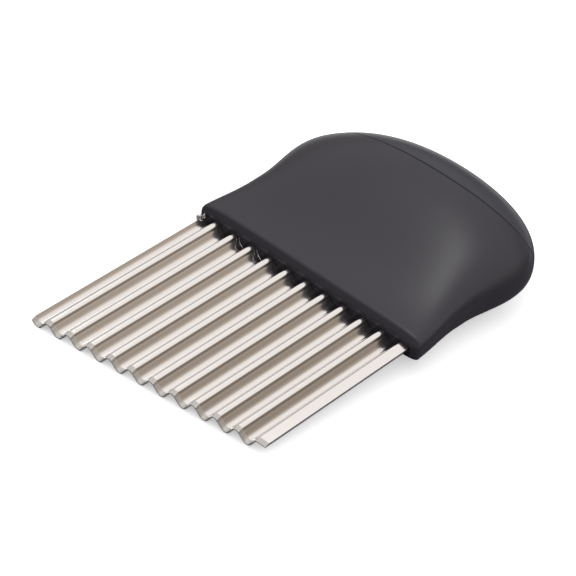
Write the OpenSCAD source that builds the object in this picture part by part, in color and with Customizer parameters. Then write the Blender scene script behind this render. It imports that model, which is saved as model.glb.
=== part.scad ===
// Hand cutter for soap: a corrugated steel blade glued into a hollow plastic handle.
// Sizes are in millimetres and +Z is up. The tool lies as it does on a table, on the
// belly of its handle and the tip of its blade. The origin is on the table, at the
// middle of the box round the whole tool. The blade points to -Y.

/* [Blade] */
// Distance from one wave crest to the next
wave_pitch = 6.6; // [6:0.1:7.2]
// Height of the wave, taken along the middle of the sheet
wave_height = 2.6; // [2:0.1:2.7]
// Share of each wave taken by its steeper side, left of the crest
steep_share = 0.4; // [0.38:0.01:0.5]
// Place across the blade of the crest nearest its middle
crest_place = 1.1; // [-3:0.1:3]
// Fall per millimetre of the unwaved margin right of the last crest
margin_slope = 0.17; // [0:0.01:0.2]
// Thickness of the steel
sheet = 0.8; // [0.6:0.1:0.9]
// Width of the blade
blade_width = 73.3; // [68:0.1:74]
// How far the blade sits off the handle's middle, negative to the left
blade_shift = -0.9; // [-1:0.1:1]
// How far the blade sits below the middle of the handle's front
blade_drop = 1.1; // [0.8:0.1:1.2]
// Length of the blade in front of the handle, at its middle
blade_length = 59.2; // [45:0.1:75]
// Angle between the cut edge and the handle's front
edge_skew = 7; // [0:0.5:9]
// Width of the ground bevel along the cut edge
bevel_width = 1.3; // [0.6:0.1:2]
// Thickness left at the cut edge
edge_land = 0.25; // [0.2:0.05:0.4]

/* [Tang] */
// Depth of the full-width part of the blade inside the handle
seat_depth = 5; // [3:0.5:5.5]
// Width of the narrower tang behind it
tang_width = 56; // [40:1:62]
// Depth of the tang's end behind the handle's front
tang_depth = 18; // [12:0.5:19]

/* [Handle] */
// Length of the handle
handle_length = 66.4; // [62:0.1:75]
// Width at the front
front_width = 78.1; // [77.9:0.1:82]
// Width at the waist
waist_width = 75; // [70:0.1:77]
// Width to which the palm rest swells before its end is rounded
palm_width = 85; // [80:0.1:92]
// Distance of the waist from the front
waist_place = 18; // [15:0.1:21]
// Where the palm rest starts to swell
swell_start = 22; // [21:0.1:27]
// Where the palm rest has its full swell
swell_end = 50; // [45:0.1:55]
// Where the round plan outline of the rear begins
round_start = 24.3; // [19:0.1:29]
// Fullness of the plan outline at the rear, 2 being an ellipse
round_fullness = 2.62; // [2.2:0.02:3]
// Thickness at the front
front_thickness = 7.5; // [7.3:0.1:9]
// Thickness at the palm rest
palm_thickness = 22.8; // [20:0.1:25]
// Where the palm rest has its full thickness
thick_place = 52.9; // [47:0.1:55]
// Fullness of the rear seen from the side, 2 being an ellipse
side_fullness = 2.05; // [2:0.01:2.4]
// Squareness of the front's outline, 2 being an ellipse
front_squareness = 6; // [5:0.1:8]
// Radius from the front face up to the handle's top
front_round = 2; // [1.2:0.1:2.1]
// Radius along the bottom of the front face
front_edge = 0.5; // [0.3:0.1:0.6]
// Radius at the left and right ends of the front face
front_corner = 0.8; // [0.6:0.1:1]
// Thickness of the hollow moulding's wall
wall = 2.4; // [1.8:0.1:2.6]
// Where the hollow begins behind the front
hollow_start = 20; // [19.5:0.5:24]

/* [Rear cap] */
// Distance of the seam from the front
seam_place = 51.8; // [47:0.1:55]
// Small chamfer on both sides of the seam
seam_chamfer = 0.25; // [0.1:0.05:0.4]
// Length of the plug that seats the cap in the handle
plug_length = 5; // [3:0.5:8]
// Clearance round the plug
plug_clearance = 0.15; // [0.05:0.05:0.3]
// Thickness of the plug's wall
plug_wall = 1.8; // [1.2:0.1:2.4]

/* [Adhesive] */
// Room for adhesive above and below the waves
glue_room = 0.15; // [0.1:0.05:0.2]
// Room beside the blade's edges
glue_side = 0.25; // [0.2:0.05:0.35]
// Radius of the bead squeezed out at the blade's left corner
bead_radius = 1.3; // [0.8:0.1:1.6]

/* [Hidden] */
facets = 56;
steps_gentle = 11;
steps_steep = 8;
skin = 0.02;
slot_squareness = 12;
blade_left = blade_shift - blade_width / 2;
blade_right = blade_shift + blade_width / 2;
crest_at = blade_shift + crest_place;
slot_half_width = blade_width / 2 + glue_side;
tang_half_width = tang_width / 2 + glue_side;
slot_half_height = wave_height / 2 + sheet / 2 + glue_room;
tang_half_height = slot_half_height - 0.05;
bevel_slope = (sheet - edge_land) / bevel_width;
bevel_angle = atan(bevel_slope);
reach = blade_length + blade_width + handle_length;

// Which node to draw, or all of them

// Shapes of the handle

function held(t) = min(max(t, 0), 1);
function eased(t) = let (c = held(t)) c * c * (3 - 2 * c);
function rounded_off(y, from, n) =
    let (c = min(held((y - from) / (handle_length - from)), 0.99995))
    pow(1 - pow(c, n), 1 / n);
function half_width(y) =
    (front_width / 2
    + (waist_width - front_width) / 2 * eased(y / waist_place)
    + (palm_width - waist_width) / 2 * eased((y - swell_start) / (swell_end - swell_start)))
    * rounded_off(y, round_start, round_fullness);
function half_thickness(y) =
    (front_thickness / 2 + (palm_thickness - front_thickness) / 2 * eased(y / thick_place))
    * rounded_off(y, thick_place - 0.5, side_fullness);
function squareness(y) =
    2 + (front_squareness - 2) * pow(1 - held(y / handle_length), 2);

function signed_pow(v, e) = sign(v) * pow(abs(v), e);
function ring(y, w, t, n, x = 0, z = 0) = [
    for (i = [0 : facets - 1])
        let (a = 360 * i / facets)
        [x + w * signed_pow(cos(a), 2 / n), y, z + t * signed_pow(sin(a), 2 / n)]
];
function outer_ring(y, inset = 0) =
    ring(y, half_width(y) - inset, half_thickness(y) - inset, squareness(y));
function round_in(y, r) = r - sqrt(r * r - pow(r - min(y, r), 2));
function front_ring(y) =
    let (above = round_in(y, front_round), below = round_in(y, front_edge))
    ring(y, half_width(y) - round_in(y, front_corner), half_thickness(y) - (above + below) / 2,
        squareness(y), 0, (below - above) / 2);
function slot_ring(y, w, t) = ring(y, w, t, slot_squareness, blade_shift, -blade_drop);

front_rings = [for (a = [90, 75, 60, 45, 30, 15]) front_ring(front_round * (1 - sin(a)))];
body_places = [
    for (k = [0 : 17])
        front_round + (seam_place - seam_chamfer - front_round) * k / 17
];
cap_places = [
    for (k = [1 : 9])
        seam_place + seam_chamfer
            + (handle_length - seam_place - seam_chamfer) * sin(90 * k / 10)
];
hollow_places = [
    for (k = [0 : 9])
        seam_place - (seam_place - hollow_start) * k / 9
];

// Closed skins from a list of rings with the same number of points

function band(a, b) = [
    for (i = [0 : facets - 1])
        let (j = (i + 1) % facets)
        each [
            [a * facets + i, b * facets + j, b * facets + i],
            [a * facets + i, a * facets + j, b * facets + j]
        ]
];
function bands(last) = [for (k = [0 : last - 1]) each band(k, k + 1)];
function fan(tip, r, turned) = [
    for (i = [0 : facets - 1])
        let (j = (i + 1) % facets)
        turned ? [tip, r * facets + i, r * facets + j] : [tip, r * facets + j, r * facets + i]
];

// The wave

last_crest = crest_at + wave_pitch * floor((blade_right - crest_at) / wave_pitch);
function wave(x) =
    let (s = (x - crest_at) / wave_pitch, f = s - floor(s))
    x > last_crest ? wave_height / 2 - margin_slope * (x - last_crest)
    : wave_height / 2 * (f < 1 - steep_share
        ? cos(180 * f / (1 - steep_share))
        : cos(180 * (1 - f) / steep_share));
function wave_tilt(x) = (wave(x + 0.01) - wave(x - 0.01)) / 0.02;
waves_each_way = ceil(blade_width / wave_pitch / 2) + 1;
wave_marks = [
    for (k = [-waves_each_way : waves_each_way], i = [0 : steps_gentle + steps_steep - 1])
        crest_at + wave_pitch * (k + (i < steps_gentle
            ? (1 - steep_share) * i / steps_gentle
            : 1 - steep_share + steep_share * (i - steps_gentle) / steps_steep))
];
wave_places = [
    for (x = wave_marks) if (x > blade_left - wave_pitch / 4 && x < blade_right + wave_pitch / 4) x
];
function wave_face(off) = [
    for (x = wave_places)
        let (m = wave_tilt(x), s = off / sqrt(1 + m * m))
        [x - m * s, wave(x) + s]
];
function backward(list) = [for (i = [len(list) - 1 : -1 : 0]) list[i]];
function edge_at(x) = -blade_length + x * tan(edge_skew);

// How the tool lies

belly_places = concat(body_places, cap_places);
function tilt_over(y, p) = atan((half_thickness(y) + p[1]) / (y - edge_at(p[0])));
function within(p) = p[0] >= blade_left && p[0] <= blade_right;
under_face = [for (p = wave_face(-sheet / 2)) if (within(p)) [p[0], p[1] - blade_drop]];
lay_angle = max([for (y = belly_places) min([for (p = under_face) tilt_over(y, p)])]);
lowest = min([for (p = under_face) edge_at(p[0]) * sin(lay_angle) + p[1] * cos(lay_angle)]);
top_face = [
    for (p = wave_face(sheet / 2)) if (within(p))
        [p[0], p[1] - blade_drop - (sheet - edge_land)]
];
foremost = min([
    for (p = concat(top_face, under_face))
        edge_at(p[0]) * cos(lay_angle) - p[1] * sin(lay_angle)
]);
rearmost = max([
    for (y = concat(cap_places, [handle_length]))
        y * cos(lay_angle) + half_thickness(y) * sin(lay_angle)
]);

module placed() {
    translate([0, -(foremost + rearmost) / 2, -lowest])
        rotate([lay_angle, 0, 0])
            children();
}

// Turns a flat shape drawn in x and z into a bar from one y to another
module along_y(from, to) {
    translate([0, to, 0])
        rotate([90, 0, 0])
            linear_extrude(height = to - from)
                children();
}

module wave_sheet() {
    translate([0, 0, -blade_drop])
        along_y(-reach, tang_depth)
            polygon(concat(wave_face(sheet / 2), backward(wave_face(-sheet / 2))));
}

module blade_outline() {
    polygon([
        [blade_left, edge_at(blade_left)],
        [blade_right, edge_at(blade_right)],
        [blade_right, seat_depth],
        [blade_shift + tang_width / 2, seat_depth],
        [blade_shift + tang_width / 2, tang_depth],
        [blade_shift - tang_width / 2, tang_depth],
        [blade_shift - tang_width / 2, seat_depth],
        [blade_left, seat_depth]
    ]);
}

// The space above the bevel: the wave's own top face, sloped down toward the cut edge
module bevel_space() {
    rise = bevel_slope * (blade_length - bevel_width);
    lower = [
        for (p = wave_face(sheet / 2))
            [p[0], cos(bevel_angle) * (p[1] + rise - bevel_slope * tan(edge_skew) * p[0])]
    ];
    height = rise + wave_height + bevel_slope * tan(edge_skew) * blade_width + 4;
    translate([0, 0, -blade_drop])
        rotate([90 + bevel_angle, 0, 0])
            linear_extrude(height = 2 * reach, center = true)
                polygon(concat(lower, [[lower[len(lower) - 1][0], height], [lower[0][0], height]]));
}

// The corrugated sheet cut to the blade's outline, before its edge is ground
module blade_sheet() {
    intersection() {
        wave_sheet();
        translate([0, 0, -reach / 2])
            linear_extrude(height = reach)
                blade_outline();
    }
}

module blade() {
    color("#c9c5c0")
        placed()
            difference() {
                blade_sheet();
                bevel_space();
            }
}

module handle_body() {
    rings = concat(
        [slot_ring(0, slot_half_width, slot_half_height)],
        front_rings,
        [for (y = body_places) outer_ring(y)],
        [outer_ring(seam_place, seam_chamfer)],
        [for (y = hollow_places) outer_ring(y, wall)],
        [slot_ring(hollow_start, tang_half_width, tang_half_height)],
        [slot_ring(seat_depth, tang_half_width, tang_half_height)],
        [slot_ring(seat_depth, slot_half_width, slot_half_height)]);
    last = len(rings) - 1;
    color("#47454a")
        placed()
            polyhedron(
                points = [for (r = rings) each r],
                faces = concat(bands(last), band(last, 0)));
}

module rear_cap() {
    plug_half_width = half_width(seam_place) - wall - plug_clearance;
    plug_half_thickness = min(half_thickness(seam_place), half_thickness(seam_place - plug_length))
        - wall - plug_clearance;
    inner_places = [
        for (k = [0 : 7])
            seam_place + (handle_length - wall - seam_place) * sin(90 * k / 8)
    ];
    inner_rings = [
        for (k = [0 : 7])
            let (f = cos(90 * k / 8))
            ring(inner_places[k], (plug_half_width - plug_wall) * pow(f, 0.8),
                (plug_half_thickness - plug_wall) * pow(f, 0.95), 2.2)
    ];
    seat = squareness(seam_place);
    rings = concat(
        backward(inner_rings),
        [ring(seam_place - plug_length, plug_half_width - plug_wall,
            plug_half_thickness - plug_wall, seat)],
        [ring(seam_place - plug_length, plug_half_width, plug_half_thickness, seat)],
        [ring(seam_place, plug_half_width, plug_half_thickness, seat)],
        [outer_ring(seam_place, seam_chamfer)],
        [outer_ring(seam_place + seam_chamfer)],
        [for (y = cap_places) outer_ring(y)]);
    last = len(rings) - 1;
    count = len(rings) * facets;
    color("#4a4a50")
        placed()
            polyhedron(
                points = concat([for (r = rings) each r],
                    [[0, handle_length - wall, 0], [0, handle_length, 0]]),
                faces = concat(fan(count, 0, false), bands(last), fan(count + 1, last, true)));
}

// The space that adhesive can fill round the blade, without the blade
module slot_space() {
    translate([0, 0, -blade_drop])
        union() {
            along_y(0, seat_depth)
                polygon([
                    for (p = ring(0, slot_half_width - skin, slot_half_height - skin,
                        slot_squareness, blade_shift)) [p[0], p[2]]
                ]);
            along_y(0, tang_depth)
                polygon([
                    for (p = ring(0, tang_half_width - skin, tang_half_height - skin,
                        slot_squareness, blade_shift)) [p[0], p[2]]
                ]);
        }
}

module adhesive_upper() {
    color("#2b2a2e")
        placed()
            intersection() {
                slot_space();
                translate([0, 0, -blade_drop])
                    along_y(0, tang_depth)
                        polygon(concat(wave_face(sheet / 2), [[reach, reach], [-reach, reach]]));
            }
}

module adhesive_lower() {
    color("#2b2a2e")
        placed()
            intersection() {
                slot_space();
                translate([0, 0, -blade_drop])
                    along_y(0, tang_depth)
                        polygon(concat(wave_face(-sheet / 2), [[reach, -reach], [-reach, -reach]]));
            }
}

module adhesive_bead() {
    color("#d9dde0")
        placed()
            difference() {
                translate([blade_left + 0.4, -0.2, wave(blade_left) - blade_drop + sheet / 2])
                    sphere(r = bead_radius, $fn = 32);
                translate([blade_left - reach / 2, 0, -reach / 2])
                    cube(reach);
                blade_sheet();
            }
}

blade();
handle_body();
rear_cap();
adhesive_upper();
adhesive_lower();
adhesive_bead();
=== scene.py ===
import math

import bpy
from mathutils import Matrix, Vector


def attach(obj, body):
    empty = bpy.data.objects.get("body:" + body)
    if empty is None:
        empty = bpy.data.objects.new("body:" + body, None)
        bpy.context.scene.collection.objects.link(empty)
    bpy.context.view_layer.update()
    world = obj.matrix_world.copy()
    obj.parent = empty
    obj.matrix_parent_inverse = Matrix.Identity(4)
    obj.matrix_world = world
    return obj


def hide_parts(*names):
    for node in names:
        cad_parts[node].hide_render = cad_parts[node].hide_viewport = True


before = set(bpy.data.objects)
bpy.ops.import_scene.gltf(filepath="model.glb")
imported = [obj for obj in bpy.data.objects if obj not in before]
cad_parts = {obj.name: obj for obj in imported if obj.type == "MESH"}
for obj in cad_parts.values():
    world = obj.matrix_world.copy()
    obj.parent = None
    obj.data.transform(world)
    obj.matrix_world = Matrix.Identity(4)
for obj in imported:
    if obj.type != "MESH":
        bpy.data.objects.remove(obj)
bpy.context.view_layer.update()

bl_info = {
    "name": "Soap cutter",
    "version": (1, 0, 0),
    "blender": (4, 5, 0),
    "location": "View3D > Sidebar > Soap cutter",
    "description": "Builds the look of a corrugated soap cutter over its CAD frame",
    "category": "Object",
}

MM = 0.001
# The smooth skins lie this much inside the CAD's curve, so that they stay inside its facets
SMOOTHING = 0.045 * MM
# The cut edge is drawn back by this much, so that rounding can't put it outside the CAD
EDGE_INSET = 0.001 * MM
# The rear's rounding stops this share of the way to the tip, as in the CAD
NEARLY_ALL = 0.99995
# Points round each ring of the handle's skins
RING_POINTS = 224
# From the side the rear rounds off from this far in front of its thickest place, as in the CAD
SIDE_LEAD = 0.5 * MM
# Clearance between the rear cap's plug and the body's wall, as in the CAD
PLUG_CLEARANCE = 0.15 * MM


def linear(hex_colour):
    """The linear RGBA of an sRGB hex colour such as #47454a."""
    parts = [int(hex_colour[i:i + 2], 16) / 255 for i in (1, 3, 5)]
    return [c / 12.92 if c <= 0.04045 else ((c + 0.055) / 1.055) ** 2.4 for c in parts] + [1.0]


def length(name, default_mm, about):
    """A length property whose default is given in millimetres."""
    return bpy.props.FloatProperty(
        name=name, description=about, default=default_mm * MM, unit="LENGTH", precision=5)


def colour(name, default_hex, about):
    """A colour property whose default is an sRGB hex value."""
    return bpy.props.FloatVectorProperty(
        name=name, description=about, default=linear(default_hex), size=4, min=0, max=1, subtype="COLOR")


def number(name, default, about):
    """A plain number, such as a share, a roughness or a strength."""
    return bpy.props.FloatProperty(name=name, description=about, default=default)


def angle(name, default_deg, about):
    """An angle property whose default is given in degrees."""
    return bpy.props.FloatProperty(
        name=name, description=about, default=math.radians(default_deg), unit="ROTATION")


# Sizes and colours


class CutterBlade(bpy.types.PropertyGroup):
    wave_pitch: length("Wave pitch", 6.6, "Distance between two wave crests")
    wave_height: length("Wave height", 2.6, "Height of the wave along the middle of the sheet")
    steep_share: number("Steep share", 0.4, "Share of each wave taken by its steeper side")
    crest_place: length("Crest place", 1.1, "Place of the crest nearest the blade's middle")
    margin_slope: number("Margin slope", 0.17, "Fall of the unwaved margin right of the last crest")
    dip_depth: length("Dip depth", 0.18, "Depth of the shallow dip that the press leaves right of a crest")
    sheet: length("Sheet thickness", 0.8, "Thickness of the steel")
    width: length("Width", 73.3, "Width across the waves")
    shift: length("Shift", -0.9, "Blade's middle from the handle's middle")
    drop: length("Drop", 1.1, "Blade below the middle of the handle's front")
    reach: length("Visible length", 59.2, "Length in front of the handle at the middle")
    edge_skew: angle("Edge skew", 7.0, "Angle of the cut edge to the handle's front")
    bevel_width: length("Bevel width", 1.3, "Width of the ground bevel")
    edge_land: length("Edge land", 0.25, "Thickness left at the cut edge")
    seat_depth: length("Seat depth", 5.0, "Depth of the full width in the handle")
    tang_width: length("Tang width", 56.0, "Width of the tang")
    tang_depth: length("Tang depth", 18.0, "Depth of the tang")
    steel: colour("Steel", "#ebe5e1", "Colour of the polished steel")
    ground: colour("Ground steel", "#e4e0db", "Colour of the ground bevel")


class CutterHandle(bpy.types.PropertyGroup):
    length: length("Length", 66.4, "Length of the handle")
    front_width: length("Front width", 78.1, "Width at the front")
    waist_width: length("Waist width", 75.0, "Width at the waist")
    palm_width: length("Palm width", 85.0, "Width the palm rest swells to before rounding")
    waist_place: length("Waist place", 18.0, "Distance of the waist from the front")
    swell_start: length("Swell start", 22.0, "Where the palm rest starts to swell")
    swell_end: length("Swell end", 50.0, "Where the palm rest has its full swell")
    round_start: length("Round start", 24.3, "Where the rear's round outline begins")
    round_fullness: number("Round fullness", 2.62, "Fullness of the rear outline from above")
    front_thickness: length("Front thickness", 7.5, "Thickness at the front")
    palm_thickness: length("Palm thickness", 22.8, "Thickness at the palm rest")
    thick_place: length("Thick place", 52.9, "Where the palm rest is thickest")
    side_fullness: number("Side fullness", 2.05, "Fullness of the rear from the side")
    front_squareness: number("Front squareness", 6.0, "Squareness of the front's outline")
    front_round: length("Front round", 2.0, "Radius from the front face up to the top")
    front_edge: length("Front edge", 0.5, "Radius along the bottom of the front face")
    front_corner: length("Front corner", 0.8, "Radius at the left and right ends of the front face")
    wall: length("Wall", 2.4, "Wall of the hollow moulding")
    hollow_start: length("Hollow start", 20.0, "Where the hollow begins")
    seam_place: length("Seam place", 51.8, "Distance of the seam from the front")
    seam_chamfer: length("Seam chamfer", 0.25, "Chamfer on both sides of the seam")
    plug_length: length("Plug length", 5.0, "Length of the cap's plug")
    slot_room: length("Slot room", 0.15, "Room above and below the waves")
    slot_side: length("Slot side room", 0.25, "Room beside the blade")
    slot_squareness: number("Slot squareness", 12.0, "Squareness of the slot's corners")
    lay_angle: angle("Lay angle", 4.31194, "Tilt of the tool as it lies on the table")
    lay_forward: length("Lay forward", -1.3549, "Front of the handle along the table")
    lay_height: length("Lay height", 7.57027, "Front of the handle above the table")
    body_colour: colour("Body colour", "#312e34", "Colour of the handle body")
    cap_colour: colour("Cap colour", "#36353b", "Colour of the rear cap")


class CutterStudio(bpy.types.PropertyGroup):
    camera_place: bpy.props.FloatVectorProperty(
        name="Camera place", description="Where the camera stands", size=3, subtype="TRANSLATION",
        default=(0.31786, -0.44977, 0.40362))
    camera_turn: bpy.props.FloatVectorProperty(
        name="Camera turn", description="How the camera is turned", size=3, subtype="EULER",
        default=[math.radians(a) for a in (53.564, -8.309, 41.886)])
    lens_mm: number("Lens", 160.159, "Focal length on a 36 mm sensor, in millimetres")
    floor_colour: colour("Floor colour", "#ffffff", "Colour of the table")
    # Painted shade: the table is grey near the tool only in what the tool mirrors and in the light it
    # bounces; the camera sees it white
    mirrored_shade_colour: colour(
        "Mirrored shade colour", "#77747a", "Colour of the table near the tool, as the tool mirrors it")


# Shapes of the handle, the same as in the CAD


def held(t):
    """A share kept between 0 and 1."""
    return min(max(t, 0.0), 1.0)


def eased(t):
    """A step from 0 to 1 that starts and ends softly."""
    c = held(t)
    return c * c * (3 - 2 * c)


def rounded_off(h, y, start, fullness):
    """Share of the full size left at a place, where the rear rounds off from start to the tip."""
    c = min(held((y - start) / (h.length - start)), NEARLY_ALL)
    return (1 - c ** fullness) ** (1 / fullness)


def half_width(h, y):
    waisting = (h.waist_width - h.front_width) / 2 * eased(y / h.waist_place)
    swelling = (h.palm_width - h.waist_width) / 2 * eased((y - h.swell_start) / (h.swell_end - h.swell_start))
    straight = h.front_width / 2 + waisting + swelling
    return straight * rounded_off(h, y, h.round_start, h.round_fullness)


def half_thickness(h, y):
    straight = h.front_thickness / 2 + (h.palm_thickness - h.front_thickness) / 2 * eased(y / h.thick_place)
    return straight * rounded_off(h, y, h.thick_place - SIDE_LEAD, h.side_fullness)


def squareness(h, y):
    """The section's exponent: it falls from the front's squareness to 2, an ellipse, at the tip."""
    return 2 + (h.front_squareness - 2) * (1 - held(y / h.length)) ** 2


def laid(h, v):
    """A point of the handle's own frame, moved to where the tool lies on the table."""
    c, s = math.cos(h.lay_angle), math.sin(h.lay_angle)
    return Vector((v[0], v[1] * c - v[2] * s + h.lay_forward, v[1] * s + v[2] * c + h.lay_height))


def ring(y, w, t, n, x=0.0, z=0.0):
    """Points round a section that goes from a rounded rectangle to an ellipse as n falls to 2."""
    points = []
    for i in range(RING_POINTS):
        a = 2 * math.pi * i / RING_POINTS
        c, s = math.cos(a), math.sin(a)
        across = w * math.copysign(abs(c) ** (2 / n), c)
        up = t * math.copysign(abs(s) ** (2 / n), s)
        points.append((x + across, y, z + up))
    return points


def outer_ring(h, y, inset=0.0):
    """A ring of the outside, SMOOTHING further in than the inset says."""
    inset += SMOOTHING
    return ring(y, half_width(h, y) - inset, half_thickness(h, y) - inset, squareness(h, y))


def round_in(y, radius):
    """How far a rounded edge lies in from the full outline at a distance behind the front face."""
    return radius - math.sqrt(radius ** 2 - (radius - min(y, radius)) ** 2)


def front_ring(h, y):
    """A ring of the front's rounded edge, which is rounded more at the top than at the bottom."""
    above, below = round_in(y, h.front_round), round_in(y, h.front_edge)
    width = half_width(h, y) - round_in(y, h.front_corner) - SMOOTHING
    thickness = half_thickness(h, y) - (above + below) / 2 - SMOOTHING
    return ring(y, width, thickness, squareness(h, y), z=(below - above) / 2)


def new_object(name, points, faces, h):
    """A smooth-shaded mesh object from points in the handle's own frame."""
    mesh = bpy.data.meshes.new(name)
    mesh.from_pydata([laid(h, p) for p in points], [], faces)
    mesh.validate()
    mesh.update()
    mesh.polygons.foreach_set("use_smooth", [True] * len(mesh.polygons))
    piece = bpy.data.objects.new(name, mesh)
    bpy.context.scene.collection.objects.link(piece)
    return piece


def skin(rings, closed, start_tip=None, end_tip=None):
    """Points and faces of a skin over rings, joined end to end or closed with a tip at each end."""
    count = len(rings[0])
    points = [p for r in rings for p in r]
    faces = []
    last = len(rings) if closed else len(rings) - 1
    for k in range(last):
        a, b = k * count, ((k + 1) % len(rings)) * count
        for i in range(count):
            j = (i + 1) % count
            faces.append((a + i, a + j, b + j, b + i))
    for tip, base, turned in ((start_tip, 0, False), (end_tip, (len(rings) - 1) * count, True)):
        if tip is None:
            continue
        points.append(tip)
        for i in range(count):
            j = (i + 1) % count
            pair = (base + i, base + j) if turned else (base + j, base + i)
            faces.append((len(points) - 1, *pair))
    return points, faces


def sharpen_rings(piece, ring_numbers):
    """Marks the edges along these rings sharp, so that shading breaks there."""
    for edge in piece.data.edges:
        a, b = (vertex // RING_POINTS for vertex in edge.vertices)
        if a == b and a in ring_numbers:
            edge.use_edge_sharp = True


# The wave of the blade


def last_crest(b):
    """Place of the last crest at the right, beyond which the sheet is plain."""
    first = b.shift + b.crest_place
    return first + b.wave_pitch * math.floor((b.shift + b.width / 2 - first) / b.wave_pitch)


def wave_share(b, x):
    """How far a place across the blade is from one crest, 0, to the next at its right, 1."""
    turns = (x - b.shift - b.crest_place) / b.wave_pitch
    return turns - math.floor(turns)


def wave(b, x):
    """Height of the sheet's middle at a place across the blade. It is plain right of the last crest."""
    if x > last_crest(b):
        return b.wave_height / 2 - b.margin_slope * (x - last_crest(b))
    share = wave_share(b, x)
    gentle = 1 - b.steep_share
    if share < gentle:
        return b.wave_height / 2 * math.cos(math.pi * share / gentle)
    return b.wave_height / 2 * math.cos(math.pi * (1 - share) / b.steep_share)


def press_dip(b, x):
    """How far the press leaves the top face below the plain wave. It makes the sheet a little steeper
    just right of each crest than lower down."""
    if x > last_crest(b):
        return 0.0
    share = wave_share(b, x)
    fall_start, fall_share = 0.15, 0.09
    rise_start, rise_share = 0.25, 0.4
    fallen = eased((share - fall_start) / fall_share)
    risen = eased((share - rise_start) / rise_share)
    return b.dip_depth * fallen * (1 - risen)


def wave_offset(b, x, off):
    """The sheet's face at a place across the blade, off its middle."""
    step = 0.01 * MM
    slope = (wave(b, x + step) - wave(b, x - step)) / (2 * step)
    s = off / math.sqrt(1 + slope * slope)
    return x - slope * s, wave(b, x) + s


def face_heights(b, xs, off):
    """Heights of the sheet's face above each place in xs, from its offset curve."""
    steps_per_wave = 400
    start = b.shift - b.width / 2 - b.wave_pitch / 2
    steps = int((b.width / b.wave_pitch + 1) * steps_per_wave)
    curve = [wave_offset(b, start + k * b.wave_pitch / steps_per_wave, off) for k in range(steps + 1)]
    heights, k = [], 0
    for x in xs:
        while k < len(curve) - 2 and curve[k + 1][0] < x:
            k += 1
        (x0, z0), (x1, z1) = curve[k], curve[k + 1]
        heights.append(z0 + (z1 - z0) * (x - x0) / (x1 - x0))
    return heights


# Materials


def add_node(tree, kind, settings=None, links=None):
    """Adds a node, sets its values by name or number, and links its inputs by name or number."""
    node = tree.nodes.new(kind)
    for key, value in (settings or {}).items():
        if isinstance(key, str) and hasattr(node, key):
            setattr(node, key, value)
        else:
            node.inputs[key].default_value = value
    for key, source in (links or {}).items():
        tree.links.new(source, node.inputs[key])
    return node


def fill_ramp(ramp, stops):
    """Gives a colour ramp its stops, each a place from 0 to 1 and an sRGB hex colour."""
    while len(ramp.elements) < len(stops):
        ramp.elements.new(1.0)
    for element, (place, hex_colour) in zip(ramp.elements, stops):
        element.position = place
        element.color = linear(hex_colour)


def new_material(name):
    """An empty node material and its output node."""
    material = bpy.data.materials.new(name)
    material.use_nodes = True
    material.node_tree.nodes.clear()
    return material, add_node(material.node_tree, "ShaderNodeOutputMaterial")


def polished_stainless(b):
    """Stainless sheet, rolled and polished before pressing: a mirror a little softened by fine
    polishing lines that run along the waves. They are drawn 0.25 mm wide, coarser than real ones,
    so that they show."""
    material, out = new_material("stainless_sheet_polished")
    tree = material.node_tree
    line_width, line_length = 0.25 * MM, 12 * MM
    where = add_node(tree, "ShaderNodeTexCoord")
    lines = add_node(tree, "ShaderNodeMapping", {"Scale": (1 / line_width, 1 / line_length, 1 / line_width)},
                     {"Vector": where.outputs["Object"]})
    grain = add_node(tree, "ShaderNodeTexNoise", {"Scale": 1.0, "Detail": 3.0},
                     {"Vector": lines.outputs["Vector"]})
    rough = add_node(tree, "ShaderNodeMapRange",
                     {"From Min": 0.3, "From Max": 0.7, "To Min": 0.12, "To Max": 0.17},
                     {"Value": grain.outputs["Fac"]})
    bump = add_node(tree, "ShaderNodeBump", {"Strength": 0.04, "Distance": 0.02 * MM},
                    {"Height": grain.outputs["Fac"]})
    steel = add_node(tree, "ShaderNodeBsdfPrincipled", {"Base Color": b.steel, "Metallic": 1.0},
                     {"Roughness": rough.outputs["Result"], "Normal": bump.outputs["Normal"]})
    tree.links.new(steel.outputs["BSDF"], out.inputs["Surface"])
    return material


def ground_stainless(b):
    """The same sheet ground to an edge: a matt band, with fine grinding lines that run back from the
    edge."""
    material, out = new_material("stainless_edge_ground")
    tree = material.node_tree
    line_width, line_length = 0.12 * MM, 2 * MM
    where = add_node(tree, "ShaderNodeTexCoord")
    lines = add_node(tree, "ShaderNodeMapping", {"Scale": (1 / line_width, 1 / line_length, 1 / line_width)},
                     {"Vector": where.outputs["Object"]})
    grain = add_node(tree, "ShaderNodeTexNoise", {"Scale": 1.0, "Detail": 2.0},
                     {"Vector": lines.outputs["Vector"]})
    bump = add_node(tree, "ShaderNodeBump", {"Strength": 0.15, "Distance": 0.03 * MM},
                    {"Height": grain.outputs["Fac"]})
    steel = add_node(tree, "ShaderNodeBsdfPrincipled",
                     {"Base Color": b.ground, "Metallic": 1.0, "Roughness": 0.38},
                     {"Normal": bump.outputs["Normal"]})
    tree.links.new(steel.outputs["BSDF"], out.inputs["Surface"])
    return material


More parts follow.
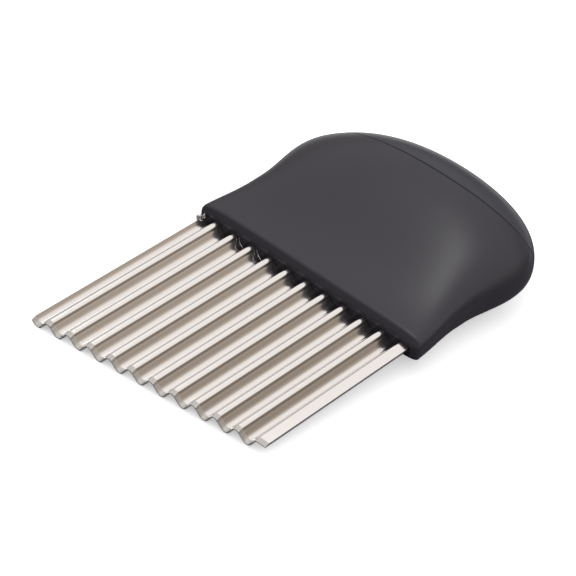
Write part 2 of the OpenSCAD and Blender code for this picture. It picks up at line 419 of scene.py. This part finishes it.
def moulded_plastic(name, colour_value):
    """Charcoal ABS moulded in a lightly spark-eroded mould: satin, with a broad soft sheen and a
    texture of about 0.3 mm."""
    material, out = new_material(name)
    tree = material.node_tree
    texture_size = 0.3 * MM
    where = add_node(tree, "ShaderNodeTexCoord")
    fine = add_node(tree, "ShaderNodeTexNoise", {"Scale": 1 / texture_size, "Detail": 2.0},
                    {"Vector": where.outputs["Object"]})
    rough = add_node(tree, "ShaderNodeMapRange",
                     {"From Min": 0.3, "From Max": 0.7, "To Min": 0.28, "To Max": 0.33},
                     {"Value": fine.outputs["Fac"]})
    bump = add_node(tree, "ShaderNodeBump", {"Strength": 0.08, "Distance": 0.02 * MM},
                    {"Height": fine.outputs["Fac"]})
    plastic = add_node(tree, "ShaderNodeBsdfPrincipled",
                       {"Base Color": colour_value, "IOR": 1.5, "Specular IOR Level": 0.3},
                       {"Roughness": rough.outputs["Result"], "Normal": bump.outputs["Normal"]})
    tree.links.new(plastic.outputs["BSDF"], out.inputs["Surface"])
    return material


def bedded_adhesive():
    """Clear two-part adhesive cured in the slot: a nearly black layer with a soft gloss. The near-black
    is partly the charcoal plastic seen through the clear resin and partly painted shade in the slot's recess."""
    material, out = new_material("clear_adhesive_with_painted_slot_shade")
    tree = material.node_tree
    ripple_size = 1.5 * MM
    where = add_node(tree, "ShaderNodeTexCoord")
    ripple = add_node(tree, "ShaderNodeTexNoise", {"Scale": 1 / ripple_size, "Detail": 1.0},
                      {"Vector": where.outputs["Object"]})
    bump = add_node(tree, "ShaderNodeBump", {"Strength": 0.15, "Distance": 0.06 * MM},
                    {"Height": ripple.outputs["Fac"]})
    resin = add_node(tree, "ShaderNodeBsdfPrincipled",
                     # Painted shade: the clear resin's base colour is near black, for the shade in the slot
                     # and the dark plastic behind it
                     {"Base Color": linear("#222127"), "Roughness": 0.35, "IOR": 1.45,
                      "Specular IOR Level": 0.15},
                     {"Normal": bump.outputs["Normal"]})
    tree.links.new(resin.outputs["BSDF"], out.inputs["Surface"])
    return material


def squeezed_adhesive():
    """Clear adhesive squeezed out and cured in the open: glassy, with bright glints."""
    material, out = new_material("clear_adhesive_squeezed_out")
    tree = material.node_tree
    ripple_size = 1.2 * MM
    where = add_node(tree, "ShaderNodeTexCoord")
    ripple = add_node(tree, "ShaderNodeTexNoise", {"Scale": 1 / ripple_size, "Detail": 0.0},
                      {"Vector": where.outputs["Object"]})
    bump = add_node(tree, "ShaderNodeBump", {"Strength": 0.15, "Distance": 0.1 * MM},
                    {"Height": ripple.outputs["Fac"]})
    resin = add_node(tree, "ShaderNodeBsdfPrincipled",
                     {"Base Color": linear("#e9e4dc"), "Roughness": 0.04, "IOR": 1.52,
                      "Transmission Weight": 0.95},
                     {"Normal": bump.outputs["Normal"]})
    tree.links.new(resin.outputs["BSDF"], out.inputs["Surface"])
    return material


def table_laminate(studio):
    """White laminate, matt. The camera sees it white and glowing a little, so that the shadow stays
    faint. To the tool it has painted shade nearby, a grey that keeps the tool's sides dark, and it is
    white far to the rear left. From below it is clear, so that the underside can be looked at."""
    material, out = new_material("white_table_laminate")
    tree = material.node_tree
    board = add_node(tree, "ShaderNodeBsdfDiffuse", {"Color": studio.floor_colour})
    glow = add_node(tree, "ShaderNodeEmission", {"Color": studio.floor_colour, "Strength": 0.4})
    lit = add_node(tree, "ShaderNodeAddShader", None, {0: board.outputs[0], 1: glow.outputs[0]})
    to_rear_left = (-0.7, 0.7, 0.0)
    grey_end, white_start = 60 * MM, 200 * MM
    where = add_node(tree, "ShaderNodeTexCoord")
    behind = add_node(tree, "ShaderNodeVectorMath", {"operation": "DOT_PRODUCT", 1: to_rear_left},
                      {0: where.outputs["Object"]})
    away = add_node(tree, "ShaderNodeMapRange", {"From Min": grey_end, "From Max": white_start},
                    {"Value": behind.outputs["Value"]})
    # Painted shade: for all but camera rays the table turns grey near the tool and white far to the rear left
    painted_shade_tone = add_node(tree, "ShaderNodeMix",
                    {"data_type": "RGBA", 6: studio.mirrored_shade_colour, 7: studio.floor_colour},
                    {0: away.outputs["Result"]})
    mirrored = add_node(tree, "ShaderNodeBsdfDiffuse", None, {"Color": painted_shade_tone.outputs[2]})
    path = add_node(tree, "ShaderNodeLightPath")
    top = add_node(tree, "ShaderNodeMixShader", None,
                   {0: path.outputs["Is Camera Ray"], 1: mirrored.outputs[0], 2: lit.outputs[0]})
    side = add_node(tree, "ShaderNodeNewGeometry")
    clear = add_node(tree, "ShaderNodeBsdfTransparent")
    either = add_node(tree, "ShaderNodeMixShader", None,
                      {0: side.outputs["Backfacing"], 1: top.outputs[0], 2: clear.outputs[0]})
    tree.links.new(either.outputs[0], out.inputs["Surface"])
    return material


# Drops and strings of adhesive


def off_front(x, offset_mm):
    """A point at an offset in millimetres from the place x across the middle of the handle's front."""
    across, along, up = offset_mm
    return (x + across * MM, along * MM, up * MM)


def blob(centre, radii, lumps, rows=20, count=32):
    """Points and faces of a lumpy drop. Each lump is (x, y, z, height) in units of the radius."""
    narrowness = 6
    points, faces = [], []
    for r in range(rows + 1):
        polar = math.pi * r / rows
        for i in range(count):
            a = 2 * math.pi * i / count
            d = Vector((math.sin(polar) * math.cos(a), math.sin(polar) * math.sin(a), math.cos(polar)))
            swelling = sum(height * math.exp(-narrowness * (d - Vector(lump)).length_squared)
                           for *lump, height in lumps)
            grown = 1 + swelling
            points.append(tuple(c + radius * grown * k for c, radius, k in zip(centre, radii, d)))
    for r in range(rows):
        for i in range(count):
            j = (i + 1) % count
            faces.append((r * count + i, r * count + j, (r + 1) * count + j, (r + 1) * count + i))
    return points, faces


def thread(knots, radius, count=8, steps=10):
    """Points and faces of a thin string of adhesive along three knots. It gets thicker towards its
    last knot and is thin at both tips."""
    thickening, tip_share = 1.2, 0.2
    first, middle, last = (Vector(knot) for knot in knots)
    points, faces = [], []
    for s in range(steps + 1):
        t = s / steps
        at = first * (1 - t) ** 2 + middle * 2 * t * (1 - t) + last * t ** 2
        along = ((middle - first) * (1 - t) + (last - middle) * t).normalized()
        side = along.cross(Vector((0, 0, 1))).normalized()
        up = side.cross(along)
        size = radius * (1 + thickening * t ** 3) * (tip_share if s in (0, steps) else 1)
        for i in range(count):
            a = 2 * math.pi * i / count
            points.append(tuple(at + (side * math.cos(a) + up * math.sin(a)) * size))
    for s in range(steps):
        for i in range(count):
            j = (i + 1) % count
            faces.append((s * count + i, s * count + j, (s + 1) * count + j, (s + 1) * count + i))
    faces.append(tuple(range(count)))
    faces.append(tuple(range(steps * count + count - 1, steps * count - 1, -1)))
    return points, faces


# Operators


class CUTTER_OT_blade(bpy.types.Operator):
    """Builds the corrugated blade with its ground edge and its tang"""
    bl_idname = "cutter.blade"
    bl_label = "Build the blade"

    def execute(self, context):
        b, h = context.scene.cutter_blade, context.scene.cutter_handle
        columns_per_wave, rows = 80, 14
        columns = int(round(b.width / b.wave_pitch * columns_per_wave))
        left = b.shift - b.width / 2
        xs = [left + b.width * k / columns for k in range(columns + 1)]
        top = [z - press_dip(b, x) for x, z in zip(xs, face_heights(b, xs, b.sheet / 2))]
        under = face_heights(b, xs, -b.sheet / 2)
        # Each column is a loop round the sheet: the cut edge's top, the top face to the rear, the
        # underside to the front
        points = []
        for x, zt, zu in zip(xs, top, under):
            edge = -b.reach + x * math.tan(b.edge_skew) + EDGE_INSET
            rear = b.tang_depth if abs(x - b.shift) < b.tang_width / 2 else b.seat_depth
            bevel = edge + b.bevel_width
            loop = [(edge, zt - (b.sheet - b.edge_land))]
            loop += [(bevel + (rear - bevel) * k / rows, zt) for k in range(rows + 1)]
            loop += [(rear + (edge - rear) * k / rows, zu) for k in range(rows + 1)]
            points += [(x, y, z - b.drop) for y, z in loop]
        size = len(points) // (columns + 1)
        faces = []
        for c in range(columns):
            for r in range(size):
                s = (r + 1) % size
                faces.append((c * size + r, (c + 1) * size + r, (c + 1) * size + s, c * size + s))
        faces.append(tuple(range(size)))
        faces.append(tuple(range(columns * size + size - 1, columns * size - 1, -1)))
        piece = new_object("corrugated_blade", points, faces, h)
        sharp_rows = (0, 1, rows + 1, rows + 2, size - 1)
        for edge in piece.data.edges:
            (column, row), (other_column, other_row) = (divmod(vertex, size) for vertex in edge.vertices)
            along_row = row == other_row and row in sharp_rows
            round_end = row != other_row and column == other_column and column in (0, columns)
            edge.use_edge_sharp = along_row or round_end
        piece.data.materials.append(polished_stainless(b))
        piece.data.materials.append(ground_stainless(b))
        # The bevel and the land below it are ground
        for face_number, face in enumerate(piece.data.polygons):
            if face_number < columns * size and face_number % size in (0, size - 1):
                face.material_index = 1
        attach(piece, "root")
        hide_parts("blade")
        return {"FINISHED"}


class CUTTER_OT_handle_body(bpy.types.Operator):
    """Builds the hollow handle body with its slot and its rounded front edge"""
    bl_idname = "cutter.handle_body"
    bl_label = "Build the handle body"

    def execute(self, context):
        b, h = context.scene.cutter_blade, context.scene.cutter_handle
        round_steps, body_steps, hollow_steps = 18, 72, 9
        slot_height = b.wave_height / 2 + b.sheet / 2 + h.slot_room
        slot_width = b.width / 2 + h.slot_side
        # Behind the seat the slot is a little lower, as in the CAD
        seat_step = 0.05 * MM
        tang_height = slot_height - seat_step
        tang_width = b.tang_width / 2 + h.slot_side

        def slot_ring(y, w, t):
            return ring(y, w, t, h.slot_squareness, b.shift, -b.drop)

        # The rings go from the slot's mouth over the outside to the seam, and back through the inside
        rings = [slot_ring(0, slot_width, slot_height)]
        for k in range(round_steps):
            turn = math.pi / 2 * k / round_steps
            rings.append(front_ring(h, h.front_round * (1 - math.cos(turn))))
        end = h.seam_place - h.seam_chamfer
        for k in range(body_steps + 1):
            rings.append(outer_ring(h, h.front_round + (end - h.front_round) * k / body_steps))
        chamfer = len(rings) - 1
        rings.append(outer_ring(h, h.seam_place, h.seam_chamfer))
        for k in range(hollow_steps + 1):
            y = h.seam_place - (h.seam_place - h.hollow_start) * k / hollow_steps
            rings.append(outer_ring(h, y, h.wall))
        rings.append(slot_ring(h.hollow_start, tang_width, tang_height))
        rings.append(slot_ring(b.seat_depth, tang_width, tang_height))
        rings.append(slot_ring(b.seat_depth, slot_width, slot_height))
        inner_end = chamfer + 2 + hollow_steps
        piece = new_object("handle_body_shell", *skin(rings, True), h)
        sharpen_rings(piece, (0, 1, chamfer, chamfer + 1, chamfer + 2,
                              inner_end, inner_end + 1, inner_end + 2, inner_end + 3))
        piece.data.materials.append(moulded_plastic("charcoal_abs_moulded_body", h.body_colour))
        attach(piece, "root")
        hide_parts("handle_body")
        return {"FINISHED"}


class CUTTER_OT_rear_cap(bpy.types.Operator):
    """Builds the rounded rear cap with its plug"""
    bl_idname = "cutter.rear_cap"
    bl_label = "Build the rear cap"

    def execute(self, context):
        h = context.scene.cutter_handle
        dome_steps = 48
        plug_front = h.seam_place - h.plug_length
        plug_width = half_width(h, h.seam_place) - h.wall - PLUG_CLEARANCE
        plug_thickness = half_thickness(h, plug_front) - h.wall - PLUG_CLEARANCE
        seat = squareness(h, h.seam_place)
        rings = [ring(plug_front, plug_width, plug_thickness, seat),
                 ring(h.seam_place, plug_width, plug_thickness, seat),
                 outer_ring(h, h.seam_place, h.seam_chamfer)]
        start = h.seam_place + h.seam_chamfer
        for k in range(dome_steps):
            y = start + (h.length - start) * math.sin(math.pi / 2 * k / dome_steps)
            # Behind its first ring the dome lies SMOOTHING further forward too
            forward = min(k, 1) * SMOOTHING
            rings.append([(px, py - forward, pz) for px, py, pz in outer_ring(h, y)])
        points, faces = skin(rings, False, (0, plug_front, 0), (0, h.length - SMOOTHING, 0))
        piece = new_object("rear_cap_dome", points, faces, h)
        sharpen_rings(piece, (0, 1, 2, 3))
        piece.data.materials.append(moulded_plastic("charcoal_abs_moulded_cap", h.cap_colour))
        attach(piece, "root")
        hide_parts("rear_cap")
        return {"FINISHED"}


class CUTTER_OT_adhesive(bpy.types.Operator):
    """Builds the squeezed-out bead with its threads and gives the adhesive its looks"""
    bl_idname = "cutter.adhesive"
    bl_label = "Build the adhesive"

    def execute(self, context):
        b, h = context.scene.cutter_blade, context.scene.cutter_handle
        left = b.shift - b.width / 2
        big_lumps = [(-0.6, -0.5, 0.6, 0.35), (0.5, -0.6, -0.5, 0.3),
                     (-0.3, -0.2, -0.9, 0.3), (0.4, -0.2, 0.9, 0.25)]
        small_lumps = [(0.5, -0.5, 0.6, 0.4)]
        big_radii = (1.0 * MM, 1.1 * MM, 1.25 * MM)
        small_radii = (0.5 * MM, 0.5 * MM, 0.75 * MM)
        drops = [blob(off_front(left, (-0.35, -0.9, -1.0)), big_radii, big_lumps),
                 blob(off_front(left, (0.75, -0.6, 0.35)), small_radii, small_lumps)]
        # A thread runs from the front face over the trough left of each of these two crests
        knots = ((-4.8, -0.05, 0.3), (-4.2, -0.9, -0.7), (-1.5, -2.0, -0.45))
        for crest_number, radius_mm in ((-3, 0.05), (-2, 0.06)):
            crest = b.shift + b.crest_place + crest_number * b.wave_pitch
            drops.append(thread([off_front(crest, knot) for knot in knots], radius_mm * MM))
        points, faces = [], []
        for drop_points, drop_faces in drops:
            faces += [tuple(i + len(points) for i in face) for face in drop_faces]
            points += drop_points
        piece = new_object("squeezed_out_adhesive", points, faces, h)
        piece.data.materials.append(squeezed_adhesive())
        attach(piece, "root")
        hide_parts("adhesive_bead")
        # The adhesive in the slot gets the near-black resin with its painted shade
        dark = bedded_adhesive()
        for name in ("adhesive_upper", "adhesive_lower"):
            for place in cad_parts[name].material_slots:
                place.material = dark
        return {"FINISHED"}


def studio_sides():
    """Stops of the colours round the tool's long axis, with 0 degrees overhead and 90 at the right:
    white at the left and overhead, but for a grey strip at the left, and a brown-grey wall at the
    right that the waves' gentle sides mirror."""
    degrees = ((-180, "#ffffff"), (-118, "#ffffff"), (-97, "#a39e9f"), (-66, "#a39e9f"), (-48, "#ffffff"),
               (20, "#ffffff"), (36, "#f4efeb"), (42, "#c2b9af"), (50, "#998f84"), (55, "#8c8277"),
               (60, "#7d746b"), (74, "#6a615a"), (95, "#454142"), (125, "#a5a09b"), (180, "#ffffff"))
    return [((d + 180) / 360, hex_colour) for d, hex_colour in degrees]


def studio_ends():
    """Stops of the shade from the front, 0, to the rear, 1: a dark room on the side of the front, white
    over the tool, and grey at the far rear."""
    return [(0.07, "#c4c2c3"), (0.13, "#1c1b1c"), (0.28, "#1c1b1c"), (0.45, "#ffffff"), (0.85, "#ffffff"),
            (0.94, "#a8a5a9")]


def white_studio():
    """The surroundings: white to the camera and through clear things, plain white light on matt
    surfaces, and the room of studio_sides and studio_ends in what shines."""
    world = bpy.data.worlds.new("white_studio")
    world.use_nodes = True
    tree = world.node_tree
    tree.nodes.clear()
    where = add_node(tree, "ShaderNodeTexCoord")
    parts = add_node(tree, "ShaderNodeSeparateXYZ", None, {"Vector": where.outputs["Generated"]})
    turn = add_node(tree, "ShaderNodeMath", {"operation": "ARCTAN2"},
                    {0: parts.outputs["X"], 1: parts.outputs["Z"]})
    share = add_node(tree, "ShaderNodeMapRange", {"From Min": -math.pi, "From Max": math.pi},
                     {"Value": turn.outputs[0]})
    sides = add_node(tree, "ShaderNodeValToRGB", None, {"Fac": share.outputs["Result"]})
    fill_ramp(sides.color_ramp, studio_sides())
    depth = add_node(tree, "ShaderNodeMapRange", {"From Min": -1.0, "From Max": 1.0},
                     {"Value": parts.outputs["Y"]})
    ends = add_node(tree, "ShaderNodeValToRGB", None, {"Fac": depth.outputs["Result"]})
    fill_ramp(ends.color_ramp, studio_ends())
    room = add_node(tree, "ShaderNodeMix", {"data_type": "RGBA", "blend_type": "MULTIPLY", 0: 1.0},
                    {6: sides.outputs["Color"], 7: ends.outputs["Color"]})
    shine = add_node(tree, "ShaderNodeBackground", {"Strength": 1.0}, {"Color": room.outputs[2]})
    fill = add_node(tree, "ShaderNodeBackground", {"Color": (1, 1, 1, 1), "Strength": 0.95})
    white = add_node(tree, "ShaderNodeBackground", {"Color": (1, 1, 1, 1), "Strength": 1.0})
    path = add_node(tree, "ShaderNodeLightPath")
    seen = add_node(tree, "ShaderNodeMath", {"operation": "MAXIMUM"},
                    {0: path.outputs["Is Camera Ray"], 1: path.outputs["Is Transmission Ray"]})
    dull = add_node(tree, "ShaderNodeMixShader", None,
                    {0: path.outputs["Is Glossy Ray"], 1: fill.outputs[0], 2: shine.outputs[0]})
    mix = add_node(tree, "ShaderNodeMixShader", None,
                   {0: seen.outputs[0], 1: dull.outputs[0], 2: white.outputs[0]})
    add_node(tree, "ShaderNodeOutputWorld", None, {"Surface": mix.outputs[0]})
    return world


class CUTTER_OT_stage(bpy.types.Operator):
    """Sets up the table, the lamps, the white surroundings and the camera"""
    bl_idname = "cutter.stage"
    bl_label = "Build the stage"

    def execute(self, context):
        scene, studio = context.scene, context.scene.cutter_studio
        half_side = 3.0
        corners = [(-half_side, -half_side, 0), (half_side, -half_side, 0),
                   (half_side, half_side, 0), (-half_side, half_side, 0)]
        mesh = bpy.data.meshes.new("table_top")
        mesh.from_pydata(corners, [], [(0, 1, 2, 3)])
        mesh.materials.append(table_laminate(studio))
        table = bpy.data.objects.new("table_top", mesh)
        scene.collection.objects.link(table)
        scene.world = white_studio()

        # Both lamps point at the frame's origin and stand clear of what the wave crests mirror. Each has
        # its name, place, size in metres and power in watts.
        for name, place, size, power in (("lamp_overhead", (-0.27, 0.36, 1.0), 0.1, 0.75),
                                         ("lamp_front_right", (0.7, -0.6, 0.8), 0.5, 1.0)):
            light = bpy.data.lights.new(name, "AREA")
            light.size = size
            light.energy = power
            lamp = bpy.data.objects.new(name, light)
            lamp.location = place
            lamp.rotation_euler = (-Vector(place)).to_track_quat("-Z", "Y").to_euler()
            scene.collection.objects.link(lamp)

        view = bpy.data.cameras.new("photo_camera")
        view.lens = studio.lens_mm
        view.sensor_width = 36
        view.clip_end = 20
        camera = bpy.data.objects.new("photo_camera", view)
        camera.location = studio.camera_place
        camera.rotation_euler = studio.camera_turn
        scene.collection.objects.link(camera)
        scene.camera = camera
        scene.view_settings.view_transform = "Standard"
        return {"FINISHED"}


class CUTTER_PT_sidebar(bpy.types.Panel):
    bl_idname = "CUTTER_PT_sidebar"
    bl_label = "Soap cutter"
    bl_space_type = "VIEW_3D"
    bl_region_type = "UI"
    bl_category = "Soap cutter"

    def draw(self, context):
        scene = context.scene
        for group, operators in (
                (scene.cutter_blade, ("cutter.blade",)),
                (scene.cutter_handle, ("cutter.handle_body", "cutter.rear_cap", "cutter.adhesive")),
                (scene.cutter_studio, ("cutter.stage",))):
            box = self.layout.box()
            for key in group.__annotations__:
                box.prop(group, key)
            for name in operators:
                box.operator(name)


CLASSES = (CutterBlade, CutterHandle, CutterStudio, CUTTER_OT_blade, CUTTER_OT_handle_body,
           CUTTER_OT_rear_cap, CUTTER_OT_adhesive, CUTTER_OT_stage, CUTTER_PT_sidebar)


def register():
    for cls in CLASSES:
        bpy.utils.register_class(cls)
    bpy.types.Scene.cutter_blade = bpy.props.PointerProperty(type=CutterBlade)
    bpy.types.Scene.cutter_handle = bpy.props.PointerProperty(type=CutterHandle)
    bpy.types.Scene.cutter_studio = bpy.props.PointerProperty(type=CutterStudio)


def unregister():
    del bpy.types.Scene.cutter_studio
    del bpy.types.Scene.cutter_handle
    del bpy.types.Scene.cutter_blade
    for cls in reversed(CLASSES):
        bpy.utils.unregister_class(cls)


def main():
    register()
    bpy.ops.cutter.blade()
    bpy.ops.cutter.handle_body()
    bpy.ops.cutter.rear_cap()
    bpy.ops.cutter.adhesive()
    bpy.ops.cutter.stage()


if __name__ == "__main__":
    main()
